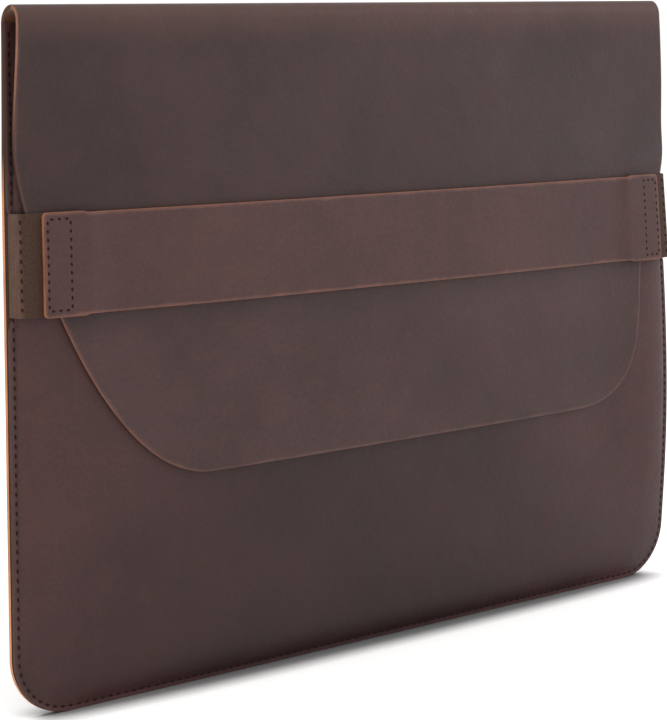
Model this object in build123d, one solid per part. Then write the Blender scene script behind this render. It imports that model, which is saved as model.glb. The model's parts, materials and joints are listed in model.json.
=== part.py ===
from build123d import *
import os
from math import atan2, cos, degrees, radians, sin, tan

# Laptop sleeve for a 13 inch laptop, in millimetres.
# One hide makes the back panel, the fold over the mouth and the flap. A second
# hide makes the front panel, sewn to the back round three sides. The flap tucks
# under a leather strap, which elastic webbing holds to the side seams.
# X runs across the width, the front faces -Y, and the base stands at Z = 0.

# Overall sizes
width = 330.0            # across the side seams
height = 250.0           # base to the top of the fold
pocket_depth = 6.0       # clear space between the panels at the mouth
crown = 3.0              # how much fuller the front is in the middle than at its edges
crown_run = 30.0         # distance from a side edge over which the front fills out

# Hide and webbing
leather = 1.6            # back, front and flap
strap_leather = 1.8      # strap
webbing = 0.9            # elastic webbing
lay_gap = 0.3            # clearance between layers that lie on each other
split_gap = 0.3          # space left at each bending line of the fold

# Seam round the panels
corner_radius = 22.0     # bottom corners
seam_margin = 3.8        # flat border where the two panels meet
wall_run = 4.5           # width over which the front rises from that border
stitch_inset = 2.4       # seam thread to the cut edge
stitch_start = 3.0       # first stitch below the pocket's mouth

# Thread
thread_width = 0.8
thread_height = 0.5
thread_proud = 0.25      # how much of a front thread stands above the leather

# Flap
flap_length = 170.0      # top of the fold to the flap's end
flap_side_inset = 1.0    # flap edge to the panel edge beside the fold
flap_straight = 46.0     # height of the fold and flap before the sides draw in
# Each corner is (in from the flap's side, up from its end), from top to bottom.
left_corner = [(17.5, 62.0), (43.0, 18.0), (78.0, 0.0)]
right_corner = [(17.5, 62.0), (24.0, 24.0), (58.0, 0.0)]

# Strap and its elastic ends
strap_height = 36.5
strap_drop = 90.7        # top of the fold to the middle of the strap
strap_end_inset = 11.5   # strap end to the side seam's edge
strap_corner = 1.5
webbing_width = 36.0
webbing_tab = 3.8        # webbing caught between the two panels
webbing_bend = 3.0       # outside radius where the webbing turns to the front
webbing_lap = 16.0       # webbing under the strap's end
joggle_run = 3.0         # length over which the strap steps over the webbing
box_inset = 2.0          # box stitch to the strap's end and long edges
box_width = 9.5          # box stitch along the strap
webbing_stitch_inset = 4.5   # webbing thread to the side seam's edge

# Depths are measured forward from the back panel's outer face.
fold_depth = 3 * leather + pocket_depth + lay_gap
fold_radius = fold_depth / 2
fold_z = height - fold_radius
flap_face = fold_depth + crown
strap_centre_z = height - strap_drop
strap_end = width / 2 - strap_end_inset
webbing_end = strap_end - webbing_lap
filled_half = width / 2 - crown_run
box_middle = strap_end - box_inset - box_width / 2

# The pocket's front and the flap are filled out to the same curve from top to base.
crown_z = height / 2
crown_rise = fold_z - crown_z
crown_radius = (crown_rise ** 2 + crown ** 2) / (2 * crown)

split_angle = 45.0       # bending lines, each side of the fold's top
half_split = degrees(split_gap / 2 / fold_radius)
clear = 1.0              # overrun of a cutting shape past what it cuts


def flap_depth(x):
    """Depth of the flap's face at mid height, this far from the middle."""
    return flap_face - crown * max(0.0, x - filled_half) / crown_run


def webbing_depth(x):
    """Depth of the face of the webbing where it lies over the flap."""
    return flap_depth(x) + lay_gap + webbing


def over_webbing(outer):
    """Points of the webbing's face, from this far out to its inner end."""
    kinks = [x for x in [filled_half] if webbing_end < x < outer]
    return [(x, webbing_depth(x)) for x in [outer, *kinks, webbing_end]]


strap_top = webbing_depth(webbing_end) + strap_leather
thread_top = webbing_depth(box_middle - box_width / 2) + strap_leather + thread_proud
total_depth = max(strap_top, thread_top)


def y_at(depth):
    """Y of a point that lies this far in front of the back face."""
    return total_depth / 2 - depth


def in_depth(face, depth, thickness):
    """A flat shape in X and Z, made this thick from this depth forward."""
    return extrude(Pos(0, y_at(depth), 0) * (Plane.XZ * face), amount=thickness)


def across(profile, half_width):
    """A shape in Y and Z, carried across the sleeve both ways."""
    return extrude(Plane.YZ * profile, amount=half_width, both=True)


def upright(profile, z_low, z_high):
    """A shape in X and Y, carried up from one height to another."""
    return extrude(Pos(0, 0, z_low) * profile, amount=z_high - z_low)


def point(depth, z):
    """A point of a side profile."""
    return (y_at(depth), z)


def on_fold(angle, radius):
    """A point on the fold, 0 degrees at the back and 180 at the front."""
    turn = radians(angle)
    return point(fold_radius - radius * cos(turn), fold_z + radius * sin(turn))


def panel_outline(inset, top):
    """The panels' outline, drawn in by inset and open-topped at a height."""
    tall = top - inset
    outline = Pos(0, inset + tall / 2) * Rectangle(width - 2 * inset, tall)
    low = outline.vertices().sort_by(Axis.Y)[:2]
    return fillet(low, corner_radius - inset)


def fold_arc(start, end, radius):
    """A stretch of the fold between two angles."""
    middle = (start + end) / 2
    return ThreePointArc(on_fold(start, radius), on_fold(middle, radius), on_fold(end, radius))


def fold_piece(start, end):
    """The part of the fold between two angles."""
    inside = fold_radius - leather
    edges = [
        fold_arc(start, end, fold_radius),
        Line(on_fold(end, fold_radius), on_fold(end, inside)),
        fold_arc(end, start, inside),
        Line(on_fold(start, inside), on_fold(start, fold_radius)),
    ]
    return across(make_face(edges), width / 2 - flap_side_inset)


def thread_track(top):
    """The seam thread's path round the two sides and the base."""
    outer = panel_outline(stitch_inset - thread_width / 2, height)
    inner = panel_outline(stitch_inset + thread_width / 2, height + 2 * clear)
    above = Pos(0, top + height / 2) * Rectangle(2 * width, height)
    return outer - inner - above


def make_seam_thread(depth):
    """One thread of the seam, lying in the leather from a depth forward."""
    return in_depth(thread_track(fold_z - stitch_start), depth, thread_height)


def make_back_panel():
    """The back of the hide, up to the first bending line of the fold."""
    panel = in_depth(panel_outline(0, fold_z), 0, leather)
    bend = fold_piece(0, split_angle - half_split)
    return panel + bend - make_seam_thread(0)


def make_fold_spine():
    """The top of the fold, between the two bending lines."""
    return fold_piece(split_angle + half_split, 180 - split_angle - half_split)


def flap_side(corner, side):
    """The edge of the flap from beside the fold to its end, on one side."""
    edge = width / 2 - flap_side_inset
    tip = height - flap_length
    start = (side * edge, height - flap_straight)
    points = [(side * (edge - run), tip + rise) for run, rise in corner]
    return Spline([start] + points, tangents=[(0, -1), (-side, 0)])


def flap_outline():
    """The flap's cut edge seen from the front."""
    left = flap_side(left_corner, -1)
    right = flap_side(right_corner, 1)
    top_left = (left @ 0) + Vector(0, flap_straight + clear)
    top_right = (right @ 0) + Vector(0, flap_straight + clear)
    end = Line(left @ 1, right @ 1)
    top = Polyline(right @ 0, top_right, top_left, left @ 0)
    return make_face([left, end, right, top])


def filled_out(drop):
    """Everything behind the filled front, this far behind the flap's face."""
    centre = point(flap_face - crown_radius - drop, crown_z)
    barrel = extrude(Plane.YZ * Pos(*centre) * Circle(crown_radius), amount=width / 2, both=True)
    stations = [0.0, filled_half, width / 2 + clear]
    front = [(x, flap_depth(x) - drop) for x in stations]
    mirrored = [(-x, depth) for x, depth in reversed(front[1:])]
    low = [(width / 2 + clear, -clear), (-width / 2 - clear, -clear)]
    corners = [(x, y_at(depth)) for x, depth in mirrored + front + low]
    return barrel & upright(make_face(Polyline(*corners, close=True)), -height, 2 * height)


def make_flap():
    """The flap, from the second bending line of the fold to its end."""
    below = Pos(0, 0, fold_z / 2) * Box(2 * width, 4 * total_depth, fold_z)
    front = (filled_out(0) - filled_out(leather)) & in_depth(flap_outline(), leather, total_depth)
    return (front & below) + fold_piece(180 - split_angle + half_split, 180)


def filled_pocket(inset, depth, drop):
    """The filled pocket: sloping walls from an outline, under the filled-out face."""
    tall = flap_face - depth
    base = panel_outline(inset, height + tall)
    body = in_depth(base, depth, 0.01)
    front_face = body.faces().sort_by(Axis.Y)[0]
    walls = extrude(front_face, amount=tall, taper=degrees(wall_slope())) + body
    return walls & filled_out(drop)


def wall_slope():
    """Slope of the pocket's walls from straight out, in radians."""
    return atan2(wall_run, pocket_depth)


def make_front_panel():
    """The front of the pocket: a flat sewn border and the filled middle."""
    drop = leather + lay_gap
    inner_inset = seam_margin + leather * (1 / cos(wall_slope()) - tan(wall_slope()))
    border = in_depth(panel_outline(0, fold_z), leather, leather)
    outside = filled_pocket(seam_margin, 2 * leather, drop)
    inside = filled_pocket(inner_inset, leather, drop + leather)
    above = Pos(0, 0, fold_z + height / 2) * Box(2 * width, 4 * total_depth, height)
    panel = border + outside - inside - above
    panel -= make_seam_thread(2 * leather - thread_height + thread_proud)
    for side in (-1, 1):
        panel -= webbing_room(side)
    return panel


def webbing_room(side):
    """Where the panel's edge is thinned and set back for the webbing."""
    reach = webbing_tab + lay_gap
    tall = webbing_width + 2 * lay_gap
    thinned = Box(reach, webbing, tall)
    set_back = Box(webbing + lay_gap / 2, 4 * leather, tall)
    x_thin = side * (width / 2 - reach / 2)
    x_back = side * (width / 2 - webbing / 2 - lay_gap / 4)
    room = Pos(x_thin, y_at(leather + webbing / 2), strap_centre_z) * thinned
    return room + Pos(x_back, y_at(3 * leather), strap_centre_z) * set_back


def make_elastic(side):
    """Webbing from between the panels, round the edge and under the strap."""
    out = width / 2
    face_line = over_webbing(out)
    under_line = [(x, depth - webbing) for x, depth in over_webbing(out - webbing)]
    tab = [(out - webbing, leather + webbing), (out - webbing_tab, leather + webbing)]
    tab += [(out - webbing_tab, leather), (out, leather)]
    path = face_line + under_line[::-1] + tab
    face = make_face(Polyline(*[(side * x, y_at(depth)) for x, depth in path], close=True))
    for (x, depth), radius in ((face_line[0], webbing_bend), (under_line[0], webbing_bend - webbing)):
        corner = face.vertices().sort_by_distance((side * x, y_at(depth)))[0]
        face = fillet(corner, radius)
    half = webbing_width / 2
    return upright(face, strap_centre_z - half, strap_centre_z + half)


def strap_layer(low, high):
    """A layer between two heights above the strap's back, over the whole strap."""
    step = webbing_end - lay_gap
    line = over_webbing(strap_end)
    line += [(step, webbing_depth(webbing_end)), (step - joggle_run, flap_face + lay_gap)]
    whole = [(-x, depth) for x, depth in line] + line[::-1]
    under = [(x, depth + low) for x, depth in whole]
    face = [(x, depth + high) for x, depth in whole[::-1]]
    corners = [(x, y_at(depth)) for x, depth in under + face]
    return upright(make_face(Polyline(*corners, close=True)), 0, height)


def make_strap():
    """The leather strap: flat across the flap and stepped over the webbing."""
    outline = Pos(0, strap_centre_z) * RectangleRounded(2 * strap_end, strap_height, strap_corner)
    strap = strap_layer(0, strap_leather) & in_depth(outline, 0, 2 * total_depth)
    for side in (-1, 1):
        strap -= make_strap_thread(side)
    return strap


def make_strap_thread(side):
    """The box stitch that holds one end of the strap to its webbing."""
    tall = strap_height - 2 * box_inset
    ring = Rectangle(box_width, tall)
    ring -= Rectangle(box_width - 2 * thread_width, tall - 2 * thread_width)
    top = strap_leather + thread_proud
    layer = strap_layer(top - thread_height, top)
    return layer & in_depth(Pos(side * box_middle, strap_centre_z) * ring, 0, 2 * total_depth)


def make_elastic_thread(side):
    """The row of stitches beside the bend of the webbing."""
    row = Rectangle(thread_width, webbing_width - 2 * box_inset)
    x = width / 2 - webbing_stitch_inset
    depth = webbing_depth(x) - thread_height + thread_proud
    return in_depth(Pos(side * x, strap_centre_z) * row, depth, thread_height)


def make_parts():
    """Every piece of the sleeve by name."""
    parts = {
        "back_panel": make_back_panel(),
        "fold_spine": make_fold_spine(),
        "flap": make_flap(),
        "front_panel": make_front_panel(),
        "strap": make_strap(),
        "seam_thread_front": make_seam_thread(2 * leather - thread_height + thread_proud),
        "seam_thread_back": make_seam_thread(0),
    }
    for name, side in (("left", -1), ("right", 1)):
        thread = make_elastic_thread(side)
        parts[f"elastic_{name}"] = make_elastic(side) - thread
        parts[f"elastic_thread_{name}"] = thread
        parts[f"strap_thread_{name}"] = make_strap_thread(side)
    return parts


os.makedirs("parts", exist_ok=True)
for node, shape in make_parts().items():
    export_step(shape, f"parts/{node}.step")
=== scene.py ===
import json
import math

import bmesh
import bpy
from mathutils import Matrix, Vector, geometry, kdtree, noise


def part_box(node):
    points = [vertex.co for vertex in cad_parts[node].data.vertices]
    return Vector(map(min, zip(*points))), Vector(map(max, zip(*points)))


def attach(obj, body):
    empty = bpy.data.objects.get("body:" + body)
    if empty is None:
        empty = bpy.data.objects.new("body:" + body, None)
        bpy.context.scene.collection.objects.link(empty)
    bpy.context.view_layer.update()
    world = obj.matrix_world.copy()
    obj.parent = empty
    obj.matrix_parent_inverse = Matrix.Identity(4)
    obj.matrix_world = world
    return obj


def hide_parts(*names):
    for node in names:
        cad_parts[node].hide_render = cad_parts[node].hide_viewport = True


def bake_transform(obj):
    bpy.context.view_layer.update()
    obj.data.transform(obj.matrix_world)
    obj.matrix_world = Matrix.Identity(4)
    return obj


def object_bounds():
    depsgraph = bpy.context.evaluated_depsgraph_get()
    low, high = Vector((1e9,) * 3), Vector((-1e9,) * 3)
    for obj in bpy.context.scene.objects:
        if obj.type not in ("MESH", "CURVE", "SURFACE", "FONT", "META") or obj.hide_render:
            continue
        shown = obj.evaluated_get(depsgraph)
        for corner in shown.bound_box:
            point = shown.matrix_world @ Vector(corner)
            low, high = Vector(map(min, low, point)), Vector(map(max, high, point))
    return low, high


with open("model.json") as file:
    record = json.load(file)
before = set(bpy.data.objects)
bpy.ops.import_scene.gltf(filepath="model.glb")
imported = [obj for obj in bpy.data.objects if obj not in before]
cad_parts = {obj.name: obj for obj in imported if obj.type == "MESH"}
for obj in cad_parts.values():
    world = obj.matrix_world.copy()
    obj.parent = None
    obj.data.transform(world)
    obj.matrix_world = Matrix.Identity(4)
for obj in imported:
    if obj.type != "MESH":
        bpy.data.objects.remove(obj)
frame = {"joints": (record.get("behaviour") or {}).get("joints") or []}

# Looks of a leather laptop sleeve: two hides sewn round three sides, a flap that
# folds over the mouth, and a leather strap on elastic webbing that holds it shut.
# Sizes are in millimetres, and at() turns a place into the frame's metres.
# A depth is measured forward from the back panel's outer face.

MM = 0.001
cad_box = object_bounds()


def box_mm(node):
    """Lowest and highest corner of a CAD node in millimetres."""
    low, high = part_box(node)
    return low / MM, high / MM


# Sizes of the frame
back_high = box_mm("back_panel")[1]
panel_high = box_mm("front_panel")[1]
flap_low, flap_high = box_mm("flap")
strap_low, strap_high = box_mm("strap")
elastic_low, elastic_high = box_mm("elastic_right")
thread_high = box_mm("seam_thread_front")[1]
joints = {joint["name"]: joint for joint in frame["joints"]}
hinges = [joints[name] for name in ("fold_open", "flap_open")]
hinge_depths = [back_high.y - hinge["pos_m"][1] / MM for hinge in hinges]

HALF = back_high.x                        # middle to a side edge
BACK = back_high.y                        # Y of the back face
TOP = cad_box[1].z / MM
LEATHER = BACK - panel_high.y
FOLD_DEPTH = sum(hinge_depths)            # front to back over the fold
FOLD_Z = TOP - FOLD_DEPTH / 2
FLAP_FACE = BACK - flap_low.y             # flap's face where the pocket is fullest
TIP = flap_low.z                          # flap's end
FLAP_HALF = flap_high.x
STITCH_INSET = HALF - thread_high.x

# How the leather lies
LAY = 0.25               # space between leather layers that rest on each other
CORNER = 22.0            # bottom corners
SIDE_FALL = 5.0          # how far the filled front falls back near the sides
SIDE_AT = 150.0          # ... this far from the middle
SEAM_FLAT = 2.8          # flat sewn border before the front rises
SHOULDER = 16.0          # width over which the front rises from that border
APEX = 6.6               # depth of the fold's highest line
BACK_RISE = 6.5          # height over which the back bends into the fold
FRONT_DROP = 5.6         # height over which the fold bends down to the flap
FLAP_SETTLE = 55.0       # length over which the flap's sides settle from the fold
TAPER = 2.5              # how much nearer each side edge is at the top than at the base
FLARE = 1.4              # how much further out each side edge is at the base
CURL = 5.8               # how far the right edge curls forward, most below mid height
SHRUG = 4.2              # how much nearer the right edge is at the fold
SHRUG_RUN = 45.0         # ... over this much height
FRONT_INSET = 0.4        # front's cut edge in from the back's, at the sides
RIPPLE = 0.22            # slow waves in the hide
RIPPLE_SIZE = 46.0
FLAP_LIFT = 0.5          # how far the flap's end stands off the front
MOUTH_TUCK = 0.9         # how far the front's top edge leans back into the fold
FOLD_PALE = 0.18         # how much bending pales the leather of the fold

# Fineness of the meshes
SHARP_ANGLE = 35         # degrees; a blunter edge is shaded smooth
EDGE_ROUND = 0.22        # rounding of a cut edge
EDGE_SAMPLE = 0.6        # spacing of the samples along a cut edge
ROW_STEP = 3.2           # height of a grid row on a plain stretch
CORNER_TURN = 6          # degrees from row to row round a bottom corner
FOLD_TURN = 7.5          # degrees from row to row round the fold
FOLD_ROWS = 12           # rows in a quarter turn

# Strap, webbing and thread
STRAP_LEATHER = 1.8
WEBBING = 0.9
PINCH = 1.1              # how far the front panel's edge is drawn in by the webbing
WEBBING_LAP = elastic_low.x               # inner end of the webbing, from the middle
STRAP_CORNER = 1.5
STRAP_OVERRUN = 1.5      # how much longer the strap is at each end than its plain solid
STRAP_LAY = 0.15         # space under the strap
WEBBING_LAY = 0.1        # space under the webbing
WEBBING_BEND = 5.0       # depth past which the webbing's bend faces forward
STRAP_TILT = 1.3         # how far the left end sits above, and the right end below, level
STRAP_PEEK = 0.5         # how far the webbing's inner end shows above the strap
PITCH = 3.38             # seam stitches
STRAP_PITCH = 2.85
SEAM_STITCH = (2.1, 1.0, 0.6)             # length, width and height of a stitch
STRAP_STITCH = (1.6, 1.0, 0.55)
WEBBING_STITCH = (1.6, 0.75, 0.5)         # sinks into the weave
TURN_IN = {-1: 5.5, 1: 4.0}               # webbing's bend ends, outside the flap's edge
ROW_INSET = {-1: 2.8, 1: 4.4}             # webbing's row of stitches, in from the edge
ROW_END = 1.2            # webbing's row of stitches to the webbing's edge
BOX_INSET = 2.4          # box stitch to the strap's long edges
BOX_END = 1.5            # box stitch to the strap's end
BOX_WIDTH = {-1: 8.9, 1: 7.4}
STITCH_LEAN = 6          # degrees that a stitch leans from its row
THREAD_SINK = 0.1        # how far a stitch's middle lies under the leather's face

# Values that leave a marking of the leather out
NO_GROOVE = -9.0         # off the leather, so no groove shows
ABOVE_ALL = 9e3          # a height above every piece


def smooth(share):
    """A soft step from 0 to 1."""
    share = min(1.0, max(0.0, share))
    return share * share * (3 - 2 * share)


def lie(x, z):
    """How far all layers stand forward here: slow waves and the curl of the right edge."""
    ripple = RIPPLE * noise.noise(Vector((x, z, 7.0)) / RIPPLE_SIZE)
    height = min(1.0, max(0.0, z / TOP))
    curl = CURL * smooth((x - 100) / 65) ** 2 * math.sin(math.pi * height ** 0.7) ** 2
    return ripple + curl


def at(x, depth, z):
    """A place in the frame, in metres."""
    spread = FLARE - (FLARE + TAPER) * z / TOP
    if x > 0:
        spread -= SHRUG * smooth((z - TOP + SHRUG_RUN) / SHRUG_RUN)
    return Vector((x * (1 + spread / HALF), BACK - depth - lie(x, z), z)) * MM


def edge_distance(x, z):
    """Distance in from the cut edge of the panels, which are open at the top."""
    side = HALF - abs(x)
    if z < CORNER and side < CORNER:
        return CORNER - math.hypot(CORNER - side, CORNER - z)
    return min(side, z)


def filled(x, z):
    """Depth of the flap's face where it lies on the filled pocket."""
    from_middle = (z - TOP / 2) / (FOLD_Z - TOP / 2)
    return FLAP_FACE - (FLAP_FACE - FOLD_DEPTH) * from_middle ** 2 - SIDE_FALL * (abs(x) / SIDE_AT) ** 3


def pocket_face(x, z):
    """Depth of the pocket's front: a flat sewn border, a round shoulder, then full."""
    full = filled(x, z) - LEATHER - LAY
    share = min(1.0, max(0.0, (edge_distance(x, z) - SEAM_FLAT) / SHOULDER))
    rise = (1 - (1 - share) ** 3) ** 0.62
    return 2 * LEATHER + (full - 2 * LEATHER) * rise


def flap_face(x, z):
    """Depth of the flap's face: straight out of the fold, then down on the pocket."""
    full = filled(x, z)
    short = FOLD_DEPTH - full
    lifted = (short + math.hypot(short, 0.6)) / 2
    return full + lifted * (1 - smooth((TOP - FRONT_DROP - z) / FLAP_SETTLE))


# Mesh helpers

def spaced(length, fine, coarse, border):
    """Places along a length: fine steps near each end, coarse ones between."""
    near = [i * fine for i in range(round(border / fine))]
    steps = round((length - 2 * border) / coarse)
    middle = [border + i * (length - 2 * border) / steps for i in range(steps + 1)]
    return near + middle + [length - place for place in reversed(near)]


def new_object(name, bm, materials):
    """A mesh object from a bmesh, smooth but for its sharp edges."""
    mesh = bpy.data.meshes.new(name)
    bm.to_mesh(mesh)
    bm.free()
    for polygon in mesh.polygons:
        polygon.use_smooth = True
    mesh.set_sharp_from_angle(angle=math.radians(SHARP_ANGLE))
    made = bpy.data.objects.new(name, mesh)
    bpy.context.scene.collection.objects.link(made)
    for material in materials:
        mesh.materials.append(material)
    return made


def mark_edges(bm, layer, flat, whole):
    """Writes each vertex's distance in millimetres to the sheet's cut edge."""
    cut = [e for e in bm.edges if e.is_boundary and not all(v in whole for v in e.verts)]
    samples = []
    for edge in cut:
        a, b = (flat[v] for v in edge.verts)
        parts = max(1, round((b - a).length / EDGE_SAMPLE))
        samples += [a.lerp(b, i / parts) for i in range(parts + 1)]
    tree = kdtree.KDTree(len(samples))
    for index, sample in enumerate(samples):
        tree.insert(sample.to_3d(), index)
    tree.balance()
    for vert in bm.verts:
        vert[layer] = tree.find(flat[vert].to_3d())[2]


def sheet(name, columns, rows, place, thickness, materials, whole_rows=()):
    """A cut sheet with a face, a back and cut edges.

    place(i, j) gives where a grid point lies and where it was on the flat cut. Rows
    in whole_rows are where a hide is only split between bodies, so they have no cut edge.
    """
    bm = bmesh.new()
    uv = bm.loops.layers.uv.new("flat")
    edge_layer = bm.verts.layers.float.new("edge_mm")
    split = bm.verts.layers.int.new("whole")
    bmesh.ops.create_grid(bm, x_segments=columns, y_segments=rows, size=0.5)
    flat, whole = {}, set()
    for vert in bm.verts:
        i = round((vert.co.x + 0.5) * columns)
        j = round((vert.co.y + 0.5) * rows)
        vert.co, cut = place(i, j)
        flat[vert] = Vector(cut)
        if j in whole_rows:
            whole.add(vert)
    for face in bm.faces:
        for loop in face.loops:
            loop[uv].uv = flat[loop.vert] * MM
    mark_edges(bm, edge_layer, flat, whole)
    bm.normal_update()
    for vert in whole:
        vert[split] = 1
    outer = set(bm.verts)
    bmesh.ops.solidify(bm, geom=bm.faces[:], thickness=thickness * MM)
    for face in bm.faces:
        shared = sum(v in outer for v in face.verts)
        face.material_index = 0 if shared == len(face.verts) else 1 if shared == 0 else 2
    rims = []
    for edge in bm.edges:
        kinds = {face.material_index for face in edge.link_faces}
        if 2 in kinds and len(kinds) > 1 and not all(v[split] for v in edge.verts):
            rims.append(edge)
    bmesh.ops.bevel(bm, geom=rims, offset=EDGE_ROUND * MM, segments=2, profile=0.5,
                    affect="EDGES", material=-1)
    return new_object(name, bm, materials)


# Material helpers

def colour(code):
    """Linear colour of an sRGB hex code."""
    parts = [int(code[i:i + 2], 16) / 255 for i in (1, 3, 5)]
    linear = [p / 12.92 if p <= 0.04045 else ((p + 0.055) / 1.055) ** 2.4 for p in parts]
    return (*linear, 1.0)


def add(tree, kind, settings=None, inputs=None):
    """Adds a node with its settings, and its inputs as values or links."""
    made = tree.nodes.new(kind)
    for key, value in (settings or {}).items():
        setattr(made, key, value)
    for key, value in (inputs or {}).items():
        if isinstance(value, bpy.types.NodeSocket):
            tree.links.new(value, made.inputs[key])
        else:
            made.inputs[key].default_value = value
    return made


def new_material(name, shader):
    """A material with a shader whose plain values are given."""
    material = bpy.data.materials.new(name)
    material.use_nodes = True
    tree = material.node_tree
    tree.nodes.clear()
    surface = add(tree, "ShaderNodeBsdfPrincipled", inputs=shader)
    add(tree, "ShaderNodeOutputMaterial", inputs={"Surface": surface.outputs["BSDF"]})
    return material, tree, surface


def waxed_leather(name, dark, middle, light, wear_and_highlight, pull, groove=NO_GROOVE):
    """Full grain leather, oiled and waxed: cloudy brown that pales where it is bent or cut.

    The wax gives a soft sheen, the buffed grain fine cells about 0.9 mm across, and
    the dye clouds 10 to 45 mm across. Close to a cut edge the colour pulls up to tan.
    The seam's groove, this far from the edge in mm, is painted darker as its shade.
    """
    material, tree, surface = new_material(name, {"Specular IOR Level": 0.27, "IOR": 1.48})
    flat = add(tree, "ShaderNodeUVMap", {"uv_map": "flat"}).outputs["UV"]
    clouds = add(tree, "ShaderNodeTexNoise", inputs={
        "Vector": flat, "Scale": 21.0, "Detail": 3.0, "Roughness": 0.5})
    patches = add(tree, "ShaderNodeTexNoise", inputs={
        "Vector": flat, "Scale": 95.0, "Detail": 5.0, "Roughness": 0.62})
    fibre = add(tree, "ShaderNodeTexNoise", inputs={
        "Vector": flat, "Scale": 620.0, "Detail": 3.0, "Roughness": 0.6})
    cells = add(tree, "ShaderNodeTexVoronoi", {"feature": "DISTANCE_TO_EDGE"},
                {"Vector": flat, "Scale": 1100.0})
    cloud_share = add(tree, "ShaderNodeMapRange", inputs={0: clouds.outputs["Fac"], 1: 0.34, 2: 0.66})
    patch_share = add(tree, "ShaderNodeMapRange",
                      inputs={0: patches.outputs["Fac"], 1: 0.45, 2: 0.75, 4: 0.4})
    fibre_share = add(tree, "ShaderNodeMapRange", inputs={0: fibre.outputs["Fac"], 1: 0.3, 2: 0.7, 4: 0.3})
    base = add(tree, "ShaderNodeMix", {"data_type": "RGBA"},
               {0: cloud_share.outputs[0], 6: colour(dark), 7: colour(middle)})
    patchy = add(tree, "ShaderNodeMix", {"data_type": "RGBA"},
                 {0: patch_share.outputs[0], 6: base.outputs[2], 7: colour(light)})
    fine = add(tree, "ShaderNodeMix", {"data_type": "RGBA", "blend_type": "MULTIPLY"},
               {0: fibre_share.outputs[0], 6: patchy.outputs[2], 7: colour("#8a8482")})
    # Painted light and shade: a per-vertex attribute scales the colour lighter or darker.
    painted_shading = add(tree, "ShaderNodeAttribute", {"attribute_name": "painted_shading"}).outputs["Fac"]
    shaded_colour = add(tree, "ShaderNodeVectorMath", {"operation": "SCALE"}, {0: fine.outputs[2], "Scale": painted_shading})
    edge = add(tree, "ShaderNodeAttribute", {"attribute_name": "edge_mm"}).outputs["Fac"]
    ragged = add(tree, "ShaderNodeMath", {"operation": "MULTIPLY_ADD"},
                 {0: patches.outputs["Fac"], 1: -2.2, 2: edge})
    near_edge = add(tree, "ShaderNodeMapRange",
                    inputs={0: ragged.outputs[0], 1: -1.1, 2: 0.2, 3: pull, 4: 0.0})
    bend = add(tree, "ShaderNodeAttribute", {"attribute_name": "bend"}).outputs["Fac"]
    pale = add(tree, "ShaderNodeMath", {"operation": "MAXIMUM"}, {0: near_edge.outputs[0], 1: bend})
    worn_mix = add(tree, "ShaderNodeMix", {"data_type": "RGBA"},
                   {0: pale.outputs[0], 6: shaded_colour.outputs[0], 7: colour(wear_and_highlight)})
    # Painted shade of the seam's groove: a dark line this far in from the cut edge.
    from_groove = add(tree, "ShaderNodeMath", {"operation": "SUBTRACT"}, {0: edge, 1: groove})
    beside = add(tree, "ShaderNodeMath", {"operation": "ABSOLUTE"}, {0: from_groove.outputs[0]})
    groove_shade = add(tree, "ShaderNodeMapRange", inputs={0: beside.outputs[0], 1: 0.2, 2: 0.8, 3: 0.3, 4: 0.0})
    groove_shaded = add(tree, "ShaderNodeMix", {"data_type": "RGBA"},
                  {0: groove_shade.outputs[0], 6: worn_mix.outputs[2], 7: colour("#190e0c")})
    tree.links.new(groove_shaded.outputs[2], surface.inputs["Base Color"])
    rough = add(tree, "ShaderNodeMapRange",
                inputs={0: patches.outputs["Fac"], 1: 0.3, 2: 0.7, 3: 0.46, 4: 0.6})
    tree.links.new(rough.outputs[0], surface.inputs["Roughness"])
    grain = add(tree, "ShaderNodeBump", inputs={
        "Height": cells.outputs["Distance"], "Strength": 0.25, "Distance": 0.0002})
    relief = add(tree, "ShaderNodeBump", inputs={
        "Height": patches.outputs["Fac"], "Strength": 0.35, "Distance": 0.0012,
        "Normal": grain.outputs["Normal"]})
    tree.links.new(relief.outputs["Normal"], surface.inputs["Normal"])
    return material


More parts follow.
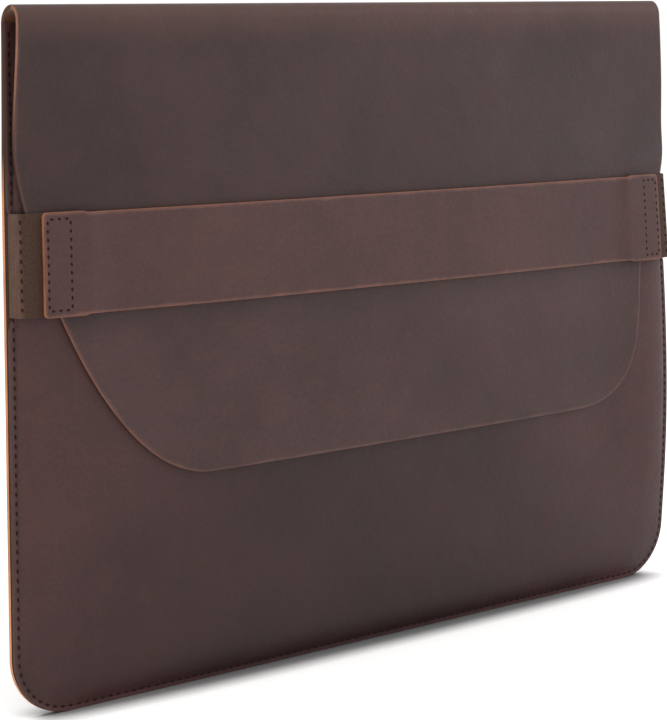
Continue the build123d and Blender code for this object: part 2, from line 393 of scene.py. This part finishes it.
def cut_edge(name, dark, light, wear_and_highlight, darker_from=ABOVE_ALL, darker_to=ABOVE_ALL):
    """Cut edge of dyed hide: fibres between two tones, with stains and scuffed spots.

    Between two heights in millimetres the edge is darker.
    """
    fade = 9
    material, tree, surface = new_material(name, {"Roughness": 0.85, "Specular IOR Level": 0.2})
    place = add(tree, "ShaderNodeTexCoord").outputs["Object"]
    fibres = add(tree, "ShaderNodeTexNoise", inputs={
        "Vector": place, "Scale": 900.0, "Detail": 4.0, "Roughness": 0.7})
    stains = add(tree, "ShaderNodeTexNoise", inputs={"Vector": place, "Scale": 60.0, "Detail": 2.0})
    tan = add(tree, "ShaderNodeMix", {"data_type": "RGBA"},
              {0: fibres.outputs["Fac"], 6: colour(dark), 7: colour(light)})
    shade = add(tree, "ShaderNodeMapRange", inputs={0: stains.outputs["Fac"], 1: 0.4, 2: 0.75, 4: 0.6})
    mixed = add(tree, "ShaderNodeMix", {"data_type": "RGBA"},
                {0: shade.outputs[0], 6: tan.outputs[2], 7: colour(wear_and_highlight)})
    height = add(tree, "ShaderNodeSeparateXYZ", inputs={0: place})
    above = add(tree, "ShaderNodeMapRange", inputs={
        0: height.outputs[2], 1: (darker_from - fade) * MM, 2: (darker_from + fade) * MM})
    below = add(tree, "ShaderNodeMapRange", inputs={
        0: height.outputs[2], 1: (darker_to - fade) * MM, 2: (darker_to + fade) * MM, 3: 0.92, 4: 0.0})
    band_mask = add(tree, "ShaderNodeMath", {"operation": "MULTIPLY"},
                 {0: above.outputs[0], 1: below.outputs[0]})
    final = add(tree, "ShaderNodeMix", {"data_type": "RGBA"},
                {0: band_mask.outputs[0], 6: mixed.outputs[2], 7: colour("#2f1f1a")})
    tree.links.new(final.outputs[2], surface.inputs["Base Color"])
    bump = add(tree, "ShaderNodeBump", inputs={
        "Height": fibres.outputs["Fac"], "Strength": 0.5, "Distance": 0.0003})
    tree.links.new(bump.outputs["Normal"], surface.inputs["Normal"])
    return material


def flesh_side():
    """Unlined flesh side of the hide: short orange brown nap, with painted shade near the cut edges.

    The painted shade stands for the gaps between the hides, where the flesh side lies in shadow: it is full
    where the hides are sewn, and less along the fold.
    """
    material, tree, surface = new_material("suede flesh side", {
        "Roughness": 0.95, "Specular IOR Level": 0.15, "Sheen Weight": 0.25, "Sheen Roughness": 0.6})
    flat = add(tree, "ShaderNodeUVMap", {"uv_map": "flat"}).outputs["UV"]
    nap = add(tree, "ShaderNodeTexNoise", inputs={
        "Vector": flat, "Scale": 700.0, "Detail": 4.0, "Roughness": 0.7})
    clouds = add(tree, "ShaderNodeTexNoise", inputs={"Vector": flat, "Scale": 40.0, "Detail": 3.0})
    both = add(tree, "ShaderNodeMath", {"operation": "MULTIPLY"},
               {0: nap.outputs["Fac"], 1: clouds.outputs["Fac"]})
    share = add(tree, "ShaderNodeMapRange", inputs={0: both.outputs[0], 1: 0.0, 2: 0.42})
    mixed = add(tree, "ShaderNodeMix", {"data_type": "RGBA"},
                {0: share.outputs[0], 6: colour("#5c321e"), 7: colour("#935732")})
    edge = add(tree, "ShaderNodeAttribute", {"attribute_name": "edge_mm"}).outputs["Fac"]
    # Painted shade: the nap goes dark near the cut edges, less along the fold.
    gap_shade = add(tree, "ShaderNodeMapRange", inputs={0: edge, 1: 0.6, 2: 7.0, 3: 0.88, 4: 0.0})
    place = add(tree, "ShaderNodeTexCoord").outputs["Object"]
    height = add(tree, "ShaderNodeSeparateXYZ", inputs={0: place}).outputs[2]
    sewn = add(tree, "ShaderNodeMapRange", inputs={
        0: height, 1: (TOP - 20) * MM, 2: (TOP - 10) * MM, 3: 1.0, 4: 0.6})
    dark = add(tree, "ShaderNodeMath", {"operation": "MULTIPLY"},
               {0: gap_shade.outputs[0], 1: sewn.outputs[0]})
    shaded_nap = add(tree, "ShaderNodeMix", {"data_type": "RGBA"},
               {0: dark.outputs[0], 6: mixed.outputs[2], 7: colour("#22140e")})
    tree.links.new(shaded_nap.outputs[2], surface.inputs["Base Color"])
    bump = add(tree, "ShaderNodeBump", inputs={
        "Height": nap.outputs["Fac"], "Strength": 0.5, "Distance": 0.0004})
    tree.links.new(bump.outputs["Normal"], surface.inputs["Normal"])
    return material


def woven_elastic():
    """Woven elastic webbing: rubber cores bound by matt brown yarn, with a streaked painted highlight where
    it bends round the edge.

    Real ribs are 0.7 mm apart; they are drawn 0.9 mm apart so that they show.
    """
    rib_spacing, pick_spacing = 0.0009, 0.0011
    material, tree, surface = new_material("woven elastic webbing", {
        "Roughness": 0.9, "Specular IOR Level": 0.15, "Sheen Weight": 0.08, "Sheen Roughness": 0.5})
    flat = add(tree, "ShaderNodeUVMap", {"uv_map": "flat"}).outputs["UV"]
    along = add(tree, "ShaderNodeSeparateXYZ", inputs={0: flat})
    rib_turns = add(tree, "ShaderNodeMath", {"operation": "MULTIPLY"},
                    {0: along.outputs[1], 1: 2 * math.pi / rib_spacing})
    pick_turns = add(tree, "ShaderNodeMath", {"operation": "MULTIPLY"},
                     {0: along.outputs[0], 1: 2 * math.pi / pick_spacing})
    ribs = add(tree, "ShaderNodeMath", {"operation": "SINE"}, {0: rib_turns.outputs[0]})
    picks = add(tree, "ShaderNodeMath", {"operation": "SINE"}, {0: pick_turns.outputs[0]})
    weave = add(tree, "ShaderNodeMath", {"operation": "MULTIPLY"},
                {0: ribs.outputs[0], 1: picks.outputs[0]})
    fuzz = add(tree, "ShaderNodeTexNoise", inputs={"Vector": flat, "Scale": 1400.0, "Detail": 3.0})
    height = add(tree, "ShaderNodeMath", {"operation": "MULTIPLY_ADD"},
                 {0: weave.outputs[0], 1: 0.32, 2: fuzz.outputs["Fac"]})
    share = add(tree, "ShaderNodeMapRange", inputs={0: height.outputs[0], 1: 0.2, 2: 0.85})
    mixed = add(tree, "ShaderNodeMix", {"data_type": "RGBA"},
                {0: share.outputs[0], 6: colour("#2b1d17"), 7: colour("#4a352a")})
    place = add(tree, "ShaderNodeTexCoord").outputs["Object"]
    across = add(tree, "ShaderNodeSeparateXYZ", inputs={0: place}).outputs[0]
    from_middle = add(tree, "ShaderNodeMath", {"operation": "ABSOLUTE"}, {0: across})
    # Painted highlight: a pale streaked band on the webbing's bend round the panel's edge.
    wrap = add(tree, "ShaderNodeMapRange", inputs={
        0: from_middle.outputs[0], 1: (HALF - 4.6) * MM, 2: (HALF - 3.6) * MM, 4: 0.36})
    drawn_out = add(tree, "ShaderNodeVectorMath", {"operation": "MULTIPLY"}, {0: flat, 1: (1.0, 0.12, 1.0)})
    streaks = add(tree, "ShaderNodeTexNoise", inputs={
        "Vector": drawn_out.outputs[0], "Scale": 900.0, "Detail": 2.0})
    band_mask = add(tree, "ShaderNodeMath", {"operation": "MULTIPLY"},
                 {0: wrap.outputs[0], 1: streaks.outputs["Fac"]})
    wear_and_highlight = add(tree, "ShaderNodeMix", {"data_type": "RGBA"},
               {0: band_mask.outputs[0], 6: mixed.outputs[2], 7: colour("#84675a")})
    tree.links.new(wear_and_highlight.outputs[2], surface.inputs["Base Color"])
    bump = add(tree, "ShaderNodeBump", inputs={
        "Height": height.outputs[0], "Strength": 0.6, "Distance": 0.00025})
    tree.links.new(bump.outputs["Normal"], surface.inputs["Normal"])
    return material


def waxed_thread():
    """Waxed polyester thread: very dark red brown, nearly matt, with a twist."""
    material, tree, surface = new_material("waxed thread", {"Roughness": 0.8, "Specular IOR Level": 0.12})
    place = add(tree, "ShaderNodeTexCoord").outputs["Object"]
    twist = add(tree, "ShaderNodeTexWave", {"bands_direction": "DIAGONAL"},
                {"Vector": place, "Scale": 700.0, "Distortion": 1.0})
    mixed = add(tree, "ShaderNodeMix", {"data_type": "RGBA"},
                {0: twist.outputs["Fac"], 6: colour("#120806"), 7: colour("#2a140e")})
    tree.links.new(mixed.outputs[2], surface.inputs["Base Color"])
    return material


# Leather pieces

def corner_rows():
    """Heights of grid rows up the rounded bottom corners."""
    return [CORNER * (1 - math.cos(math.radians(turn))) for turn in range(0, 91, CORNER_TURN)]


def half_width(z):
    """Half the width of the panels at this height."""
    if z >= CORNER:
        return HALF
    return HALF - CORNER + math.sqrt(max(0.0, CORNER ** 2 - (CORNER - z) ** 2))


def panel_rows(top):
    """Heights of grid rows from the base to the top of a panel."""
    low = corner_rows()
    steps = round((top - low[-1]) / ROW_STEP)
    return low + [low[-1] + (top - low[-1]) * i / steps for i in range(1, steps + 1)]


def add_wear_and_shading(piece, bend, painted_shading):
    """Writes how far bending pales each vertex's leather, and how much painted light and shade scale its
    colour.
    """
    for name, share in (("bend", bend), ("painted_shading", painted_shading)):
        values = piece.data.attributes.new(name, "FLOAT", "POINT")
        for vert in piece.data.vertices:
            values.data[vert.index].value = share(vert.co / MM)


def even(co):
    """No painted shading: the dye as it comes."""
    return 1.0


def panel_painted_shading(co):
    """Painted light and shade on the front: darkest low in the middle, lighter towards the sides."""
    across = min(1.0, ((co.x + 15) / 150) ** 2)
    # Lighter again right at the base: painted light that makes up for the bounce taken away by the painted
    # contact shadow on the floor.
    low = 0.16 * (1 - smooth(co.z / 45)) - 0.75 * (1 - smooth(co.z / 9))
    return 0.70 + across * (0.42 + 0.18 * smooth((co.z - 40) / 60)) - low


def flap_painted_shading(co):
    """Painted light and shade on the flap: lighter below the strap, darker high on the left."""
    below = 1 - smooth((co.z - strap_low.z + 13) / 14)
    left = smooth((-co.x - 90) / 60)
    return 1.0 + 0.2 * below - 0.18 * left * (1 - below)


def pinch(z):
    """How far the front panel's edge is drawn in under the webbing."""
    out = max(elastic_low.z - z, z - elastic_high.z)
    return (PINCH + WEBBING) * (1 - smooth((out + 0.5) / 1.5))


def make_front(materials):
    """The pocket's front, sewn round three sides."""
    rows = panel_rows(FOLD_Z - 0.6)
    columns = spaced(2 * HALF, fine=0.8, coarse=4.0, border=20.0)

    def place(i, j):
        z = rows[j]
        x = (columns[i] - HALF) * (half_width(z) - FRONT_INSET - pinch(z)) / HALF
        tuck = MOUTH_TUCK * smooth((z - FOLD_Z + 14) / 14)
        return at(x, pocket_face(x, z) - tuck * smooth((HALF - abs(x)) / 12), z), (x, z)

    front = sheet("front_panel_hide", len(columns) - 1, len(rows) - 1, place, LEATHER, materials)
    add_wear_and_shading(front, lambda co: 0.0, panel_painted_shading)
    return front


def make_back(materials):
    """The back of the hide, up to the highest line of the fold."""
    rows = panel_rows(TOP - BACK_RISE)
    turns = [math.radians(FOLD_TURN * i) for i in range(1, FOLD_ROWS + 1)]
    columns = spaced(2 * HALF, fine=0.8, coarse=4.0, border=20.0)

    def place(i, j):
        if j < len(rows):
            z, depth, run = rows[j], 0.0, rows[j]
        else:
            turn = turns[j - len(rows)]
            z = TOP - BACK_RISE * (1 - math.sin(turn))
            depth = APEX * (1 - math.cos(turn))
            run = rows[-1] + turn * (APEX + BACK_RISE) / 2
        half = half_width(z) - (HALF - FLAP_HALF) * smooth((z - TOP + 70) / 70)
        x = (HALF - columns[i]) * half / HALF
        return at(x, depth, z), (x, run)

    count = len(rows) + len(turns) - 1
    back = sheet("back_hide", len(columns) - 1, count, place, LEATHER, materials, [count])
    add_wear_and_shading(back, lambda co: FOLD_PALE * smooth((co.z - TOP + 7) / 6), even)
    return back


def curve_points(knots):
    """Points down one side of the flap, from its Bezier knots and handles."""
    points = []
    for curve in knots:
        start, leave, arrive, end = (Vector((*knot, 0)) for knot in curve)
        points += geometry.interpolate_bezier(start, leave, arrive, end, 60)
    return [(p.x, p.y) for p in points]


def side_at(points, z):
    """X of the flap's side at a height."""
    if z >= points[0][1]:
        return points[0][0]
    for (xa, za), (xb, zb) in zip(points, points[1:]):
        if zb <= z <= za:
            return xa + (xb - xa) * (za - z) / (za - zb) if za > zb else xb
    return points[-1][0]


def flap_sides():
    """The two sides of the flap: a long sweep on the left, a tight corner on the right."""
    start = TOP - 46.0
    left = [
        ((-FLAP_HALF, start), (-FLAP_HALF, start - 30), (-FLAP_HALF + 33, TIP), (-FLAP_HALF + 79, TIP)),
    ]
    waist = (FLAP_HALF - 18.5, TIP + 61)
    right = [
        ((FLAP_HALF, start - 14), (FLAP_HALF, start - 32), (waist[0] + 3.5, waist[1] + 21), waist),
        (waist, (waist[0] - 4.2, waist[1] - 25), (FLAP_HALF - 14.5, TIP), (FLAP_HALF - 58, TIP)),
    ]
    return curve_points(left), curve_points(right)


def make_flap(materials):
    """The front of the fold and the flap, down to its rounded end."""
    left, right = flap_sides()
    turns = [math.radians(FOLD_TURN * i) for i in range(FOLD_ROWS)]
    end_rows = [0.0, 0.05, 0.2, 0.45, 0.8, 1.3, 2.0, 3.0, 4.3, 6.0, 8.0, 10.5, 13.5, 17.0]
    top = TOP - FRONT_DROP
    steps = round((top - TIP - end_rows[-1]) / ROW_STEP)
    body = [top - (top - TIP - end_rows[-1]) * k / steps for k in range(steps)]
    heights = body + [TIP + rise for rise in reversed(end_rows)]
    columns = spaced(2.0, fine=0.006, coarse=0.024, border=0.03)

    def place(i, j):
        if j < len(turns):
            turn = turns[j]
            z = TOP - FRONT_DROP * (1 - math.cos(turn))
            run = -turn * (FRONT_DROP + FOLD_DEPTH - APEX) / 2
        else:
            turn, z = math.pi / 2, heights[j - len(turns)]
            run = z - top - math.pi / 4 * (FRONT_DROP + FOLD_DEPTH - APEX)
        low, high = side_at(left, z), side_at(right, z)
        x = high + (low - high) * columns[i] / 2.0
        face = flap_face(x, min(z, top))
        lift = FLAP_LIFT * smooth((TIP + 9 - z) / 9)
        depth = APEX + (face - APEX) * math.sin(turn) + lift
        return at(x, depth, z), (x, run)

    count = len(turns) + len(heights) - 1
    flap = sheet("flap_hide", len(columns) - 1, count, place, LEATHER, materials, [0])
    add_wear_and_shading(flap, lambda co: FOLD_PALE * smooth((co.z - TOP + 16) / 15), flap_painted_shading)
    return flap


def tilt(x):
    """How far the strap and webbing stand above level here."""
    return -STRAP_TILT * x / HALF


def strap_under(x, z):
    """Depth of the strap's underside: on the flap, then over the webbing's end."""
    step = smooth((abs(x) - WEBBING_LAP + 8.0) / 8.0)
    return flap_face(x, z) + STRAP_LAY + (WEBBING + STRAP_LAY) * step


def make_strap(materials):
    """The leather strap, with rounded ends."""
    left, right = strap_low.x - STRAP_OVERRUN, strap_high.x + STRAP_OVERRUN
    middle = (strap_low.z + strap_high.z) / 2
    half = (strap_high.z - strap_low.z) / 2
    rounded = [STRAP_CORNER * (1 - math.cos(math.radians(15 * k))) for k in range(6)]
    straight = spaced(right - left - 2 * STRAP_CORNER, fine=1.0, coarse=4.0, border=20.0)
    columns = rounded + [STRAP_CORNER + along for along in straight]
    columns += [right - left - along for along in reversed(rounded)]
    rows = spaced(2.0, fine=0.03, coarse=0.12, border=0.09)

    def place(i, j):
        x = left + columns[i]
        near = min(columns[i], right - left - columns[i])
        round_off = STRAP_CORNER - min(STRAP_CORNER, near)
        reach = half - STRAP_CORNER + math.sqrt(max(0.0, STRAP_CORNER ** 2 - round_off ** 2))
        reach -= STRAP_PEEK * (1 - smooth((abs(x) - WEBBING_LAP) / 1.5))
        z = middle + (rows[j] - 1.0) * reach + tilt(x)
        return at(x, strap_under(x, z) + STRAP_LEATHER, z), (x, z)

    strap = sheet("strap_hide", len(columns) - 1, len(rows) - 1, place, STRAP_LEATHER, materials)
    add_wear_and_shading(strap, lambda co: 0.0, even)
    return strap


# Webbing and thread

def webbing_path(side, z):
    """Places along the webbing's face, from the seam round to its end under the strap."""
    out, turn_in = HALF - PINCH, HALF - TURN_IN[side]
    lap_depth = flap_face(side * turn_in, z) + WEBBING_LAY + WEBBING
    bend = geometry.interpolate_bezier(
        Vector((out, LEATHER + 0.3, 0)), Vector((out, 0.72 * lap_depth, 0)),
        Vector((turn_in + 2.6, lap_depth - 0.8, 0)), Vector((turn_in, lap_depth, 0)), 14)
    steps = 20
    run = [turn_in + (WEBBING_LAP - turn_in) * k / steps for k in range(1, steps + 1)]
    points = [(p.x, p.y) for p in bend]
    return points + [(x, flap_face(side * x, z) + WEBBING_LAY + WEBBING) for x in run]


def make_elastic(name, side, materials):
    """Webbing from the side seam, round the edge and under the strap's end."""
    columns = len(webbing_path(side, TOP / 2)) - 1
    rows = 18

    def place(i, j):
        z = elastic_low.z + (elastic_high.z - elastic_low.z) * j / rows + tilt(side * HALF)
        path = webbing_path(side, z)
        path = path if side < 0 else path[::-1]
        x, depth = path[i]
        run = sum(math.dist(a, b) for a, b in zip(path, path[1:i + 1]))
        return at(side * x, depth, z), (run, z)

    return sheet(name, columns, rows, place, WEBBING, materials)


def stitches(name, marks, stitch, material):
    """A row of stitches, each a bead that dips into the leather at its ends."""
    bm = bmesh.new()
    length, width, height = (size * MM for size in stitch)
    size = Matrix.Diagonal((length / 2, width / 2, height / 2, 1.0))
    lean = Matrix.Rotation(math.radians(STITCH_LEAN), 4, "Z")
    for place, along, out in marks:
        across = out.cross(along).normalized()
        turn = Matrix((along, across, out)).transposed().to_4x4()
        bmesh.ops.create_uvsphere(bm, u_segments=8, v_segments=5, radius=1.0,
                                  matrix=Matrix.Translation(place) @ turn @ lean @ size)
    return new_object(name, bm, [material])


def seam_track():
    """Points down the left side, round the base and up the right, in from the edge."""
    inset, top = STITCH_INSET, thread_high.z
    radius = CORNER - inset
    track = [(-HALF + inset, top), (-HALF + inset, CORNER)]
    for degrees in range(5, 91, 5):
        turn = math.radians(degrees)
        track.append((-HALF + CORNER - radius * math.cos(turn), CORNER - radius * math.sin(turn)))
    return track + [(-x, z) for x, z in reversed(track)]


def walk(track, pitch):
    """Evenly spaced (x, z, direction) along a track of points."""
    points = [Vector((x, z)) for x, z in track]
    lengths = [(b - a).length for a, b in zip(points, points[1:])]
    count = round(sum(lengths) / pitch)
    marks, start, index = [], 0.0, 0
    for k in range(count):
        want = (k + 0.5) * sum(lengths) / count
        while start + lengths[index] < want:
            start += lengths[index]
            index += 1
        along = (points[index + 1] - points[index]).normalized()
        spot = points[index] + along * (want - start)
        marks.append((spot.x, spot.y, along))
    return marks


def front_marks(track, pitch, depth, sink=THREAD_SINK):
    """Stitch places on a face that looks forward, at depth(x, z)."""
    step, marks = 0.4, []
    for x, z, along in walk(track, pitch):
        here = at(x, depth(x, z) - sink, z)
        slope_x = at(x + step, depth(x + step, z), z) - at(x - step, depth(x - step, z), z)
        slope_z = at(x, depth(x, z + step), z + step) - at(x, depth(x, z - step), z - step)
        out = slope_x.cross(slope_z).normalized()
        along_face = (slope_x.normalized() * along.x + slope_z.normalized() * along.y).normalized()
        marks.append((here, along_face, out))
    return marks


def back_marks():
    """Stitch places on the back face."""
    marks = []
    for x, z, along in walk(seam_track(), PITCH):
        marks.append((at(x, THREAD_SINK, z), Vector((along.x, 0, along.y)), Vector((0, 1, 0))))
    return marks


def box_track(side):
    """The box of stitches at one end of the strap."""
    outer = strap_high.x + STRAP_OVERRUN - BOX_END
    inner = outer - BOX_WIDTH[side]
    rise = tilt(side * outer)
    low, high = strap_low.z + BOX_INSET + rise, strap_high.z - BOX_INSET + rise
    corners = [(outer, low), (outer, high), (inner, high), (inner, low), (outer, low)]
    return [(side * x, z) for x, z in corners]


def elastic_row(side):
    """The row of stitches beside the webbing's bend."""
    x, rise = side * (HALF - ROW_INSET[side]), tilt(side * HALF)
    return [(x, elastic_low.z + ROW_END + rise), (x, elastic_high.z - ROW_END + rise)]


def webbing_face(side):
    """Depth of the webbing's face as a function of place."""
    def depth(x, z):
        forward = [spot for spot in webbing_path(side, z) if spot[1] > WEBBING_BEND]
        return min(forward, key=lambda spot: abs(spot[0] - abs(x)))[1]
    return depth


# Build

body_leather = waxed_leather("waxed brown hide", "#322120", "#3b2827", "#462f2b", "#735046", 0.3)
sewn_leather = waxed_leather(
    "waxed brown hide, sewn", "#34201f", "#3d2625", "#482d29", "#735046", 0.08, STITCH_INSET)
strap_leather = waxed_leather("waxed strap hide", "#3f2928", "#472e2c", "#523732", "#7a5143", 0.5)
tan_edge = cut_edge("raw tan leather edge", "#a86c49", "#d09b74", "#8f5c42", TOP - 60)
dyed_edge = cut_edge("dyed leather edge", "#3f2e29", "#54403a", "#362722", TOP - 60)
flap_edge = cut_edge("dyed flap edge", "#6f4a3c", "#936a59", "#5d3c30", TIP + 70, TIP + 133)
strap_edge = cut_edge("raw strap edge", "#784a32", "#a06a4a", "#5b3826")
flesh_material = flesh_side()
webbing_material = woven_elastic()
thread_material = waxed_thread()

front_piece = make_front([sewn_leather, flesh_material, dyed_edge])
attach(front_piece, "pocket")
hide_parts("front_panel")

back_piece = make_back([sewn_leather, flesh_material, tan_edge])
at(0, 0, TOP - BACK_RISE - 3)
at(0, 0, TOP)
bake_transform(back_piece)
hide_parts("back_panel")

flap_piece = make_flap([body_leather, flesh_material, flap_edge])
at(0, FOLD_DEPTH, TOP)
at(0, FOLD_DEPTH, TOP - FRONT_DROP - 6)
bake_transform(flap_piece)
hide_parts("flap", "fold_spine")

strap_piece = make_strap([strap_leather, flesh_material, strap_edge])
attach(strap_piece, "strap")
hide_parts("strap")

marks = front_marks(seam_track(), PITCH, pocket_face)
seam_front = stitches("seam_stitches_front", marks, SEAM_STITCH, thread_material)
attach(seam_front, "pocket")
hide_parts("seam_thread_front")

seam_back = stitches("seam_stitches_back", back_marks(), SEAM_STITCH, thread_material)
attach(seam_back, "pocket")
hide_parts("seam_thread_back")

for name, side in (("left", -1), ("right", 1)):
    elastic = make_elastic(f"webbing_{name}", side, [webbing_material] * 3)
    at(side * (HALF - 3.0), 8, TOP / 2)
    at(side * (strap_high.x - 2), 8, TOP / 2)
    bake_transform(elastic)
    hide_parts(f"elastic_{name}")

    marks = front_marks(elastic_row(side), PITCH, webbing_face(side), sink=-THREAD_SINK)
    row = stitches(f"webbing_stitches_{name}", marks, WEBBING_STITCH, thread_material)
    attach(row, "pocket")
    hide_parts(f"elastic_thread_{name}")

    marks = front_marks(box_track(side), STRAP_PITCH, lambda x, z: strap_under(x, z) + STRAP_LEATHER)
    box = stitches(f"strap_stitches_{name}", marks, STRAP_STITCH, thread_material)
    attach(box, "strap")
    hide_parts(f"strap_thread_{name}")


# Stage, light and camera

def make_floor():
    """A plain white studio floor with a faint glow, and a short painted contact shadow."""
    bm = bmesh.new()
    bmesh.ops.create_grid(bm, x_segments=1, y_segments=1, size=6.0)
    material, tree, surface = new_material("white studio floor", {
        "Roughness": 0.9, "Emission Color": colour("#ffffff")})
    # Painted contact shadow: ambient occlusion darkens the floor's colour and dims its glow close to the
    # sleeve.
    open_share = add(tree, "ShaderNodeAmbientOcclusion", {"samples": 16}, {"Distance": 0.017}).outputs["AO"]
    lit = add(tree, "ShaderNodeMapRange", inputs={0: open_share, 1: 0.5, 2: 0.9, 3: 0.16, 4: 0.95})
    glow = add(tree, "ShaderNodeMapRange", inputs={0: open_share, 1: 0.5, 2: 0.9, 3: 0.0, 4: 0.12})
    tree.links.new(lit.outputs[0], surface.inputs["Base Color"])
    tree.links.new(glow.outputs[0], surface.inputs["Emission Strength"])
    floor = new_object("floor", bm, [material])


def soft_light(name, place, aim, size, power, tint):
    """A square softbox that faces a point."""
    data = bpy.data.lights.new(name, "AREA")
    data.size, data.energy, data.color = size, power, colour(tint)[:3]
    lamp = bpy.data.objects.new(name, data)
    lamp.location = place
    lamp.rotation_euler = (Vector(aim) - Vector(place)).to_track_quat("-Z", "Y").to_euler()
    bpy.context.scene.collection.objects.link(lamp)


def make_world():
    """Even white surroundings."""
    world = bpy.data.worlds.new("white studio")
    world.use_nodes = True
    background = world.node_tree.nodes["Background"]
    background.inputs["Color"].default_value = colour("#ffffff")
    background.inputs["Strength"].default_value = 1.02
    bpy.context.scene.world = world


def make_camera():
    """A long lens from the front left, at the height of the fold."""
    data = bpy.data.cameras.new("camera")
    heading, dip, roll = -39.63, 5.89, -0.91
    data.lens, data.sensor_width, data.shift_y = 113.7, 36.0, -0.1312
    camera = bpy.data.objects.new("camera", data)
    camera.location = (-0.5731, -0.6644, 0.2393)
    turn = Matrix.Rotation(math.radians(heading), 4, "Z") @ Matrix.Rotation(math.radians(90 - dip), 4, "X")
    camera.rotation_euler = (turn @ Matrix.Rotation(math.radians(roll), 4, "Z")).to_euler()
    bpy.context.scene.collection.objects.link(camera)
    bpy.context.scene.camera = camera


make_floor()
make_world()
make_camera()
soft_light("top softbox", (-0.2, -0.5, 1.6), aim=(0, 0, 0.1), size=1.4, power=9, tint="#fff8f0")
soft_light("right softbox", (1.1, -0.7, 0.7), aim=(0, 0, 0.12), size=0.9, power=5, tint="#e9f3ff")
soft_light("left softbox", (-1.6, -0.1, 0.6), aim=(0, 0, 0.12), size=0.9, power=5, tint="#fff4ea")
bpy.context.scene.view_settings.view_transform = "Standard"
